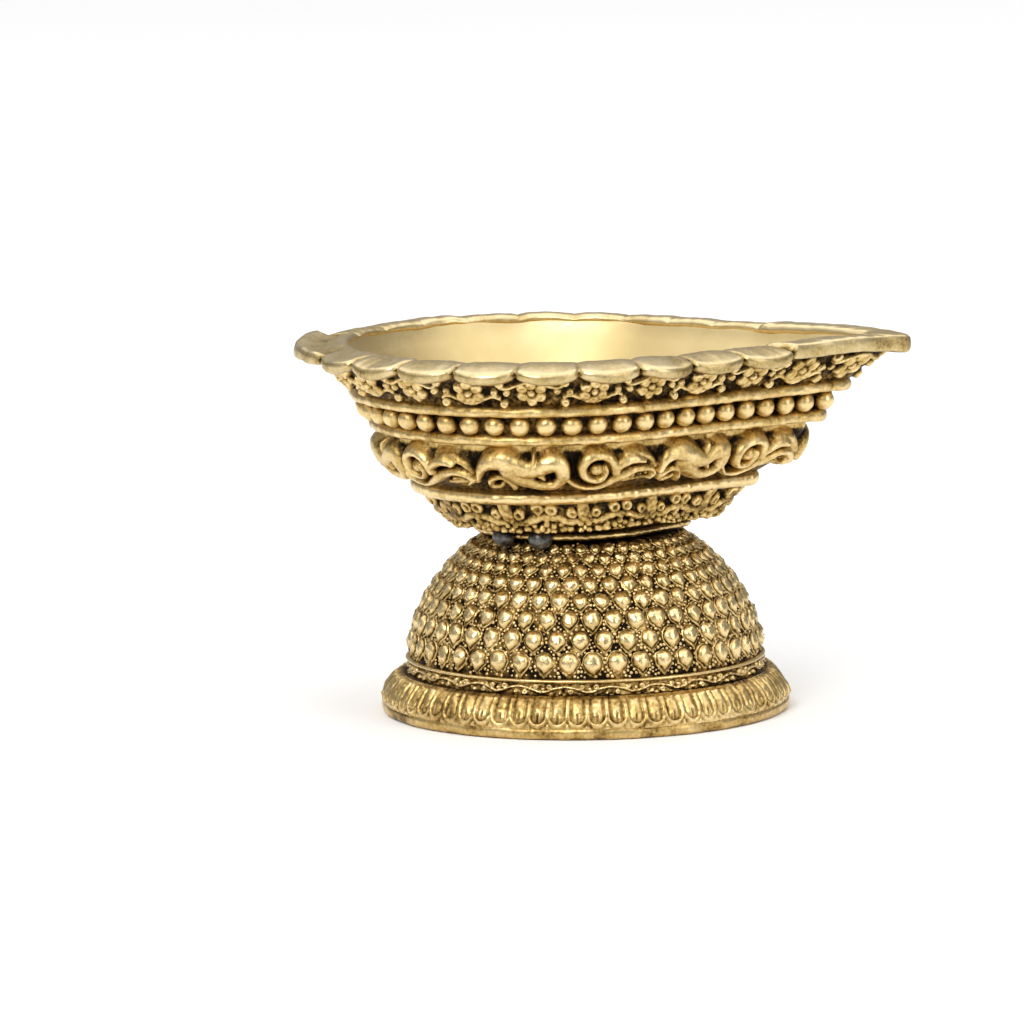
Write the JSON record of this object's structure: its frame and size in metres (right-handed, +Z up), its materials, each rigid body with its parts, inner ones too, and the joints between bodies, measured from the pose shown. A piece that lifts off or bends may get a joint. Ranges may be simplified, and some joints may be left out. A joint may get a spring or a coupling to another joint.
{
  "type": "butter lamp",
  "caption": "Small brass oil lamp with a leaf-shaped open bowl, a scalloped rim and a pointed wick spout, soldered to a studded dome foot with a petalled base ring.",
  "frame": {"origin": "middle of the round foot, on the floor that the base ring stands on", "axes": "+Z up, +X along the lamp towards the spout's tip, +Y to the back seen with the spout to the right"},
  "size_m": [0.0684, 0.0528, 0.0416],
  "materials": {
    "foot_brass": "antique, bright where raised and dark brown in the recesses",
    "ornament_brass": "antique, bright where raised and dark brown in the recesses",
    "bowl_brass": "satin inside, antique outside",
    "rim_brass": "worn satin",
    "solder": "dull grey"
  },
  "bodies": {
    "root": {"base_ring": "foot_brass", "base_petals": "foot_brass", "filigree_band": "foot_brass", "dome_wire": "foot_brass", "dome_shell": "foot_brass", "stud_row_1": "foot_brass", "stud_row_2": "foot_brass", "stud_row_3": "foot_brass", "stud_row_4": "foot_brass", "stud_row_5": "foot_brass", "stud_row_6": "foot_brass", "stud_row_7": "foot_brass", "stud_row_8": "foot_brass", "bowl_foot_ring": "ornament_brass", "lower_flowers": "ornament_brass", "lower_moulding": "ornament_brass", "scroll_band": "ornament_brass", "middle_moulding": "ornament_brass", "bead_row": "ornament_brass", "upper_moulding": "ornament_brass", "upper_flowers": "ornament_brass", "bowl_shell": "bowl_brass", "scalloped_rim": "rim_brass", "solder_seam": "solder", "solder_tacks": "solder"}
  },
  "joints": []
}
